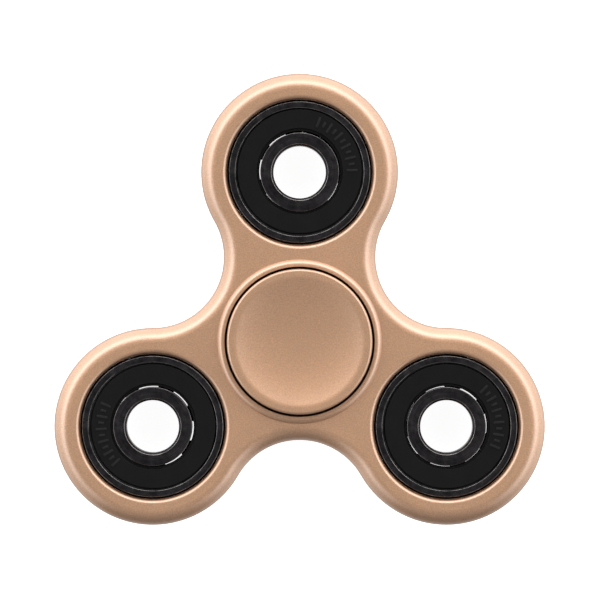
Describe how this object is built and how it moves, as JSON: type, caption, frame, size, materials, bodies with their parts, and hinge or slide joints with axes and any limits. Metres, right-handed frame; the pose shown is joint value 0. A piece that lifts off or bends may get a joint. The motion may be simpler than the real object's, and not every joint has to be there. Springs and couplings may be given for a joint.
{
  "type": "fidget spinner",
  "caption": "Tri-lobe hand spinner: a rounded plate turns on a central ball bearing between two dished finger caps, with a sealed ball bearing in each lobe.",
  "frame": {"origin": "on the spin axis at mid-thickness", "axes": "+Z along the spin axis out of the top cap, +Y towards lobe A, +X to the right of lobe A seen from above"},
  "size_m": [0.0746, 0.0687, 0.012],
  "materials": {
    "body_paint": "satin champagne gold with a fine metallic grain",
    "cap_paint": "satin champagne gold, a little smoother than the plate",
    "ring_steel": "blackened bearing steel, ground faces",
    "ball_steel": "polished bearing steel",
    "cage_steel": "pressed steel sheet",
    "seal_rubber": "matte black moulded rubber with raised index marks"
  },
  "bodies": {
    "hub": {"cap_top": "cap_paint", "cap_bottom": "cap_paint", "centre_inner_ring": "ring_steel"},
    "rotor": {"spinner_body": "body_paint", "centre_outer_ring": "ring_steel", "centre_seal_upper": "seal_rubber", "centre_seal_lower": "seal_rubber", "lobe_a_outer_ring": "ring_steel", "lobe_a_seal_upper": "seal_rubber", "lobe_a_seal_lower": "seal_rubber", "lobe_b_outer_ring": "ring_steel", "lobe_b_seal_upper": "seal_rubber", "lobe_b_seal_lower": "seal_rubber", "lobe_c_outer_ring": "ring_steel", "lobe_c_seal_upper": "seal_rubber", "lobe_c_seal_lower": "seal_rubber"},
    "centre_cage": {"centre_cage_upper": "cage_steel", "centre_cage_lower": "cage_steel"},
    "centre_ball_1": {"centre_ball_1": "ball_steel"},
    "centre_ball_2": {"centre_ball_2": "ball_steel"},
    "centre_ball_3": {"centre_ball_3": "ball_steel"},
    "centre_ball_4": {"centre_ball_4": "ball_steel"},
    "centre_ball_5": {"centre_ball_5": "ball_steel"},
    "centre_ball_6": {"centre_ball_6": "ball_steel"},
    "centre_ball_7": {"centre_ball_7": "ball_steel"},
    "lobe_a_cage": {"lobe_a_cage_upper": "cage_steel", "lobe_a_cage_lower": "cage_steel"},
    "lobe_a_ball_1": {"lobe_a_ball_1": "ball_steel"},
    "lobe_a_ball_2": {"lobe_a_ball_2": "ball_steel"},
    "lobe_a_ball_3": {"lobe_a_ball_3": "ball_steel"},
    "lobe_a_ball_4": {"lobe_a_ball_4": "ball_steel"},
    "lobe_a_ball_5": {"lobe_a_ball_5": "ball_steel"},
    "lobe_a_ball_6": {"lobe_a_ball_6": "ball_steel"},
    "lobe_a_ball_7": {"lobe_a_ball_7": "ball_steel"},
    "lobe_a_spindle": {"lobe_a_inner_ring": "ring_steel"},
    "lobe_b_cage": {"lobe_b_cage_upper": "cage_steel", "lobe_b_cage_lower": "cage_steel"},
    "lobe_b_ball_1": {"lobe_b_ball_1": "ball_steel"},
    "lobe_b_ball_2": {"lobe_b_ball_2": "ball_steel"},
    "lobe_b_ball_3": {"lobe_b_ball_3": "ball_steel"},
    "lobe_b_ball_4": {"lobe_b_ball_4": "ball_steel"},
    "lobe_b_ball_5": {"lobe_b_ball_5": "ball_steel"},
    "lobe_b_ball_6": {"lobe_b_ball_6": "ball_steel"},
    "lobe_b_ball_7": {"lobe_b_ball_7": "ball_steel"},
    "lobe_b_spindle": {"lobe_b_inner_ring": "ring_steel"},
    "lobe_c_cage": {"lobe_c_cage_upper": "cage_steel", "lobe_c_cage_lower": "cage_steel"},
    "lobe_c_ball_1": {"lobe_c_ball_1": "ball_steel"},
    "lobe_c_ball_2": {"lobe_c_ball_2": "ball_steel"},
    "lobe_c_ball_3": {"lobe_c_ball_3": "ball_steel"},
    "lobe_c_ball_4": {"lobe_c_ball_4": "ball_steel"},
    "lobe_c_ball_5": {"lobe_c_ball_5": "ball_steel"},
    "lobe_c_ball_6": {"lobe_c_ball_6": "ball_steel"},
    "lobe_c_ball_7": {"lobe_c_ball_7": "ball_steel"},
    "lobe_c_spindle": {"lobe_c_inner_ring": "ring_steel"}
  },
  "joints": [
    {"name": "rotor_spin", "type": "hinge", "parent": "hub", "child": "rotor", "pos_m": [0, 0, 0], "axis": [0, 0, 1], "continuous": true},
    {"name": "centre_cage_orbit", "type": "hinge", "parent": "hub", "child": "centre_cage", "pos_m": [0, 0, 0], "axis": [0, 0, 1], "continuous": true},
    {"name": "lobe_a_inner_spin", "type": "hinge", "parent": "rotor", "child": "lobe_a_spindle", "pos_m": [0, 0.0258, 0], "axis": [0, 0, 1], "continuous": true},
    {"name": "lobe_a_cage_orbit", "type": "hinge", "parent": "rotor", "child": "lobe_a_cage", "pos_m": [0, 0.0258, 0], "axis": [0, 0, 1], "continuous": true},
    {"name": "lobe_b_inner_spin", "type": "hinge", "parent": "rotor", "child": "lobe_b_spindle", "pos_m": [-0.02234, -0.0129, 0], "axis": [0, 0, 1], "continuous": true},
    {"name": "lobe_b_cage_orbit", "type": "hinge", "parent": "rotor", "child": "lobe_b_cage", "pos_m": [-0.02234, -0.0129, 0], "axis": [0, 0, 1], "continuous": true},
    {"name": "lobe_c_inner_spin", "type": "hinge", "parent": "rotor", "child": "lobe_c_spindle", "pos_m": [0.02234, -0.0129, 0], "axis": [0, 0, 1], "continuous": true},
    {"name": "lobe_c_cage_orbit", "type": "hinge", "parent": "rotor", "child": "lobe_c_cage", "pos_m": [0.02234, -0.0129, 0], "axis": [0, 0, 1], "continuous": true},
    {"name": "centre_ball_1_roll", "type": "hinge", "parent": "centre_cage", "child": "centre_ball_1", "pos_m": [0.00734, 0.00156, 0], "axis": [0, 0, 1], "continuous": true},
    {"name": "centre_ball_2_roll", "type": "hinge", "parent": "centre_cage", "child": "centre_ball_2", "pos_m": [0.00335, 0.00671, 0], "axis": [0, 0, 1], "continuous": true},
    {"name": "centre_ball_3_roll", "type": "hinge", "parent": "centre_cage", "child": "centre_ball_3", "pos_m": [-0.00315, 0.00681, 0], "axis": [0, 0, 1], "continuous": true},
    {"name": "centre_ball_4_roll", "type": "hinge", "parent": "centre_cage", "child": "centre_ball_4", "pos_m": [-0.00729, 0.00178, 0], "axis": [0, 0, 1], "continuous": true},
    {"name": "centre_ball_5_roll", "type": "hinge", "parent": "centre_cage", "child": "centre_ball_5", "pos_m": [-0.00593, -0.00459, 0], "axis": [0, 0, 1], "continuous": true},
    {"name": "centre_ball_6_roll", "type": "hinge", "parent": "centre_cage", "child": "centre_ball_6", "pos_m": [-0.00011, -0.0075, 0], "axis": [0, 0, 1], "continuous": true},
    {"name": "centre_ball_7_roll", "type": "hinge", "parent": "centre_cage", "child": "centre_ball_7", "pos_m": [0.00579, -0.00476, 0], "axis": [0, 0, 1], "continuous": true},
    {"name": "lobe_a_ball_1_roll", "type": "hinge", "parent": "lobe_a_cage", "child": "lobe_a_ball_1", "pos_m": [-0.0065, 0.02955, 0], "axis": [0, 0, 1], "continuous": true},
    {"name": "lobe_a_ball_2_roll", "type": "hinge", "parent": "lobe_a_cage", "child": "lobe_a_ball_2", "pos_m": [-0.00698, 0.02306, 0], "axis": [0, 0, 1], "continuous": true},
    {"name": "lobe_a_ball_3_roll", "type": "hinge", "parent": "lobe_a_cage", "child": "lobe_a_ball_3", "pos_m": [-0.00221, 0.01863, 0], "axis": [0, 0, 1], "continuous": true},
    {"name": "lobe_a_ball_4_roll", "type": "hinge", "parent": "lobe_a_cage", "child": "lobe_a_ball_4", "pos_m": [0.00422, 0.0196, 0], "axis": [0, 0, 1], "continuous": true},
    {"name": "lobe_a_ball_5_roll", "type": "hinge", "parent": "lobe_a_cage", "child": "lobe_a_ball_5", "pos_m": [0.00748, 0.02524, 0], "axis": [0, 0, 1], "continuous": true},
    {"name": "lobe_a_ball_6_roll", "type": "hinge", "parent": "lobe_a_cage", "child": "lobe_a_ball_6", "pos_m": [0.0051, 0.0313, 0], "axis": [0, 0, 1], "continuous": true},
    {"name": "lobe_a_ball_7_roll", "type": "hinge", "parent": "lobe_a_cage", "child": "lobe_a_ball_7", "pos_m": [-0.00112, 0.03322, 0], "axis": [0, 0, 1], "continuous": true},
    {"name": "lobe_b_ball_1_roll", "type": "hinge", "parent": "lobe_b_cage", "child": "lobe_b_ball_1", "pos_m": [-0.01984, -0.00583, 0], "axis": [0, 0, 1], "continuous": true},
    {"name": "lobe_b_ball_2_roll", "type": "hinge", "parent": "lobe_b_cage", "child": "lobe_b_ball_2", "pos_m": [-0.02631, -0.00653, 0], "axis": [0, 0, 1], "continuous": true},
    {"name": "lobe_b_ball_3_roll", "type": "hinge", "parent": "lobe_b_cage", "child": "lobe_b_ball_3", "pos_m": [-0.02979, -0.01203, 0], "axis": [0, 0, 1], "continuous": true},
    {"name": "lobe_b_ball_4_roll", "type": "hinge", "parent": "lobe_b_cage", "child": "lobe_b_ball_4", "pos_m": [-0.02767, -0.01818, 0], "axis": [0, 0, 1], "continuous": true},
    {"name": "lobe_b_ball_5_roll", "type": "hinge", "parent": "lobe_b_cage", "child": "lobe_b_ball_5", "pos_m": [-0.02153, -0.02036, 0], "axis": [0, 0, 1], "continuous": true},
    {"name": "lobe_b_ball_6_roll", "type": "hinge", "parent": "lobe_b_cage", "child": "lobe_b_ball_6", "pos_m": [-0.01601, -0.01691, 0], "axis": [0, 0, 1], "continuous": true},
    {"name": "lobe_b_ball_7_roll", "type": "hinge", "parent": "lobe_b_cage", "child": "lobe_b_ball_7", "pos_m": [-0.01526, -0.01045, 0], "axis": [0, 0, 1], "continuous": true},
    {"name": "lobe_c_ball_1_roll", "type": "hinge", "parent": "lobe_c_cage", "child": "lobe_c_ball_1", "pos_m": [0.02352, -0.00549, 0], "axis": [0, 0, 1], "continuous": true},
    {"name": "lobe_c_ball_2_roll", "type": "hinge", "parent": "lobe_c_cage", "child": "lobe_c_ball_2", "pos_m": [0.01728, -0.00736, 0], "axis": [0, 0, 1], "continuous": true},
    {"name": "lobe_c_ball_3_roll", "type": "hinge", "parent": "lobe_c_cage", "child": "lobe_c_ball_3", "pos_m": [0.01486, -0.0134, 0], "axis": [0, 0, 1], "continuous": true},
    {"name": "lobe_c_ball_4_roll", "type": "hinge", "parent": "lobe_c_cage", "child": "lobe_c_ball_4", "pos_m": [0.01807, -0.01906, 0], "axis": [0, 0, 1], "continuous": true},
    {"name": "lobe_c_ball_5_roll", "type": "hinge", "parent": "lobe_c_cage", "child": "lobe_c_ball_5", "pos_m": [0.0245, -0.02008, 0], "axis": [0, 0, 1], "continuous": true},
    {"name": "lobe_c_ball_6_roll", "type": "hinge", "parent": "lobe_c_cage", "child": "lobe_c_ball_6", "pos_m": [0.0293, -0.01569, 0], "axis": [0, 0, 1], "continuous": true},
    {"name": "lobe_c_ball_7_roll", "type": "hinge", "parent": "lobe_c_cage", "child": "lobe_c_ball_7", "pos_m": [0.02887, -0.0092, 0], "axis": [0, 0, 1], "continuous": true}
  ],
  "couplings": [
    {"joint": "centre_cage_orbit", "follows": "rotor_spin", "ratio": 0.6323},
    {"joint": "lobe_a_cage_orbit", "follows": "lobe_a_inner_spin", "ratio": 0.3677},
    {"joint": "lobe_b_cage_orbit", "follows": "lobe_b_inner_spin", "ratio": 0.3677},
    {"joint": "lobe_c_cage_orbit", "follows": "lobe_c_inner_spin", "ratio": 0.3677},
    {"joint": "centre_ball_1_roll", "follows": "rotor_spin", "ratio": 1.7574},
    {"joint": "centre_ball_2_roll", "follows": "rotor_spin", "ratio": 1.7574},
    {"joint": "centre_ball_3_roll", "follows": "rotor_spin", "ratio": 1.7574},
    {"joint": "centre_ball_4_roll", "follows": "rotor_spin", "ratio": 1.7574},
    {"joint": "centre_ball_5_roll", "follows": "rotor_spin", "ratio": 1.7574},
    {"joint": "centre_ball_6_roll", "follows": "rotor_spin", "ratio": 1.7574},
    {"joint": "centre_ball_7_roll", "follows": "rotor_spin", "ratio": 1.7574},
    {"joint": "lobe_a_ball_1_roll", "follows": "lobe_a_inner_spin", "ratio": -1.7574},
    {"joint": "lobe_a_ball_2_roll", "follows": "lobe_a_inner_spin", "ratio": -1.7574},
    {"joint": "lobe_a_ball_3_roll", "follows": "lobe_a_inner_spin", "ratio": -1.7574},
    {"joint": "lobe_a_ball_4_roll", "follows": "lobe_a_inner_spin", "ratio": -1.7574},
    {"joint": "lobe_a_ball_5_roll", "follows": "lobe_a_inner_spin", "ratio": -1.7574},
    {"joint": "lobe_a_ball_6_roll", "follows": "lobe_a_inner_spin", "ratio": -1.7574},
    {"joint": "lobe_a_ball_7_roll", "follows": "lobe_a_inner_spin", "ratio": -1.7574},
    {"joint": "lobe_b_ball_1_roll", "follows": "lobe_b_inner_spin", "ratio": -1.7574},
    {"joint": "lobe_b_ball_2_roll", "follows": "lobe_b_inner_spin", "ratio": -1.7574},
    {"joint": "lobe_b_ball_3_roll", "follows": "lobe_b_inner_spin", "ratio": -1.7574},
    {"joint": "lobe_b_ball_4_roll", "follows": "lobe_b_inner_spin", "ratio": -1.7574},
    {"joint": "lobe_b_ball_5_roll", "follows": "lobe_b_inner_spin", "ratio": -1.7574},
    {"joint": "lobe_b_ball_6_roll", "follows": "lobe_b_inner_spin", "ratio": -1.7574},
    {"joint": "lobe_b_ball_7_roll", "follows": "lobe_b_inner_spin", "ratio": -1.7574},
    {"joint": "lobe_c_ball_1_roll", "follows": "lobe_c_inner_spin", "ratio": -1.7574},
    {"joint": "lobe_c_ball_2_roll", "follows": "lobe_c_inner_spin", "ratio": -1.7574},
    {"joint": "lobe_c_ball_3_roll", "follows": "lobe_c_inner_spin", "ratio": -1.7574},
    {"joint": "lobe_c_ball_4_roll", "follows": "lobe_c_inner_spin", "ratio": -1.7574},
    {"joint": "lobe_c_ball_5_roll", "follows": "lobe_c_inner_spin", "ratio": -1.7574},
    {"joint": "lobe_c_ball_6_roll", "follows": "lobe_c_inner_spin", "ratio": -1.7574},
    {"joint": "lobe_c_ball_7_roll", "follows": "lobe_c_inner_spin", "ratio": -1.7574}
  ]
}
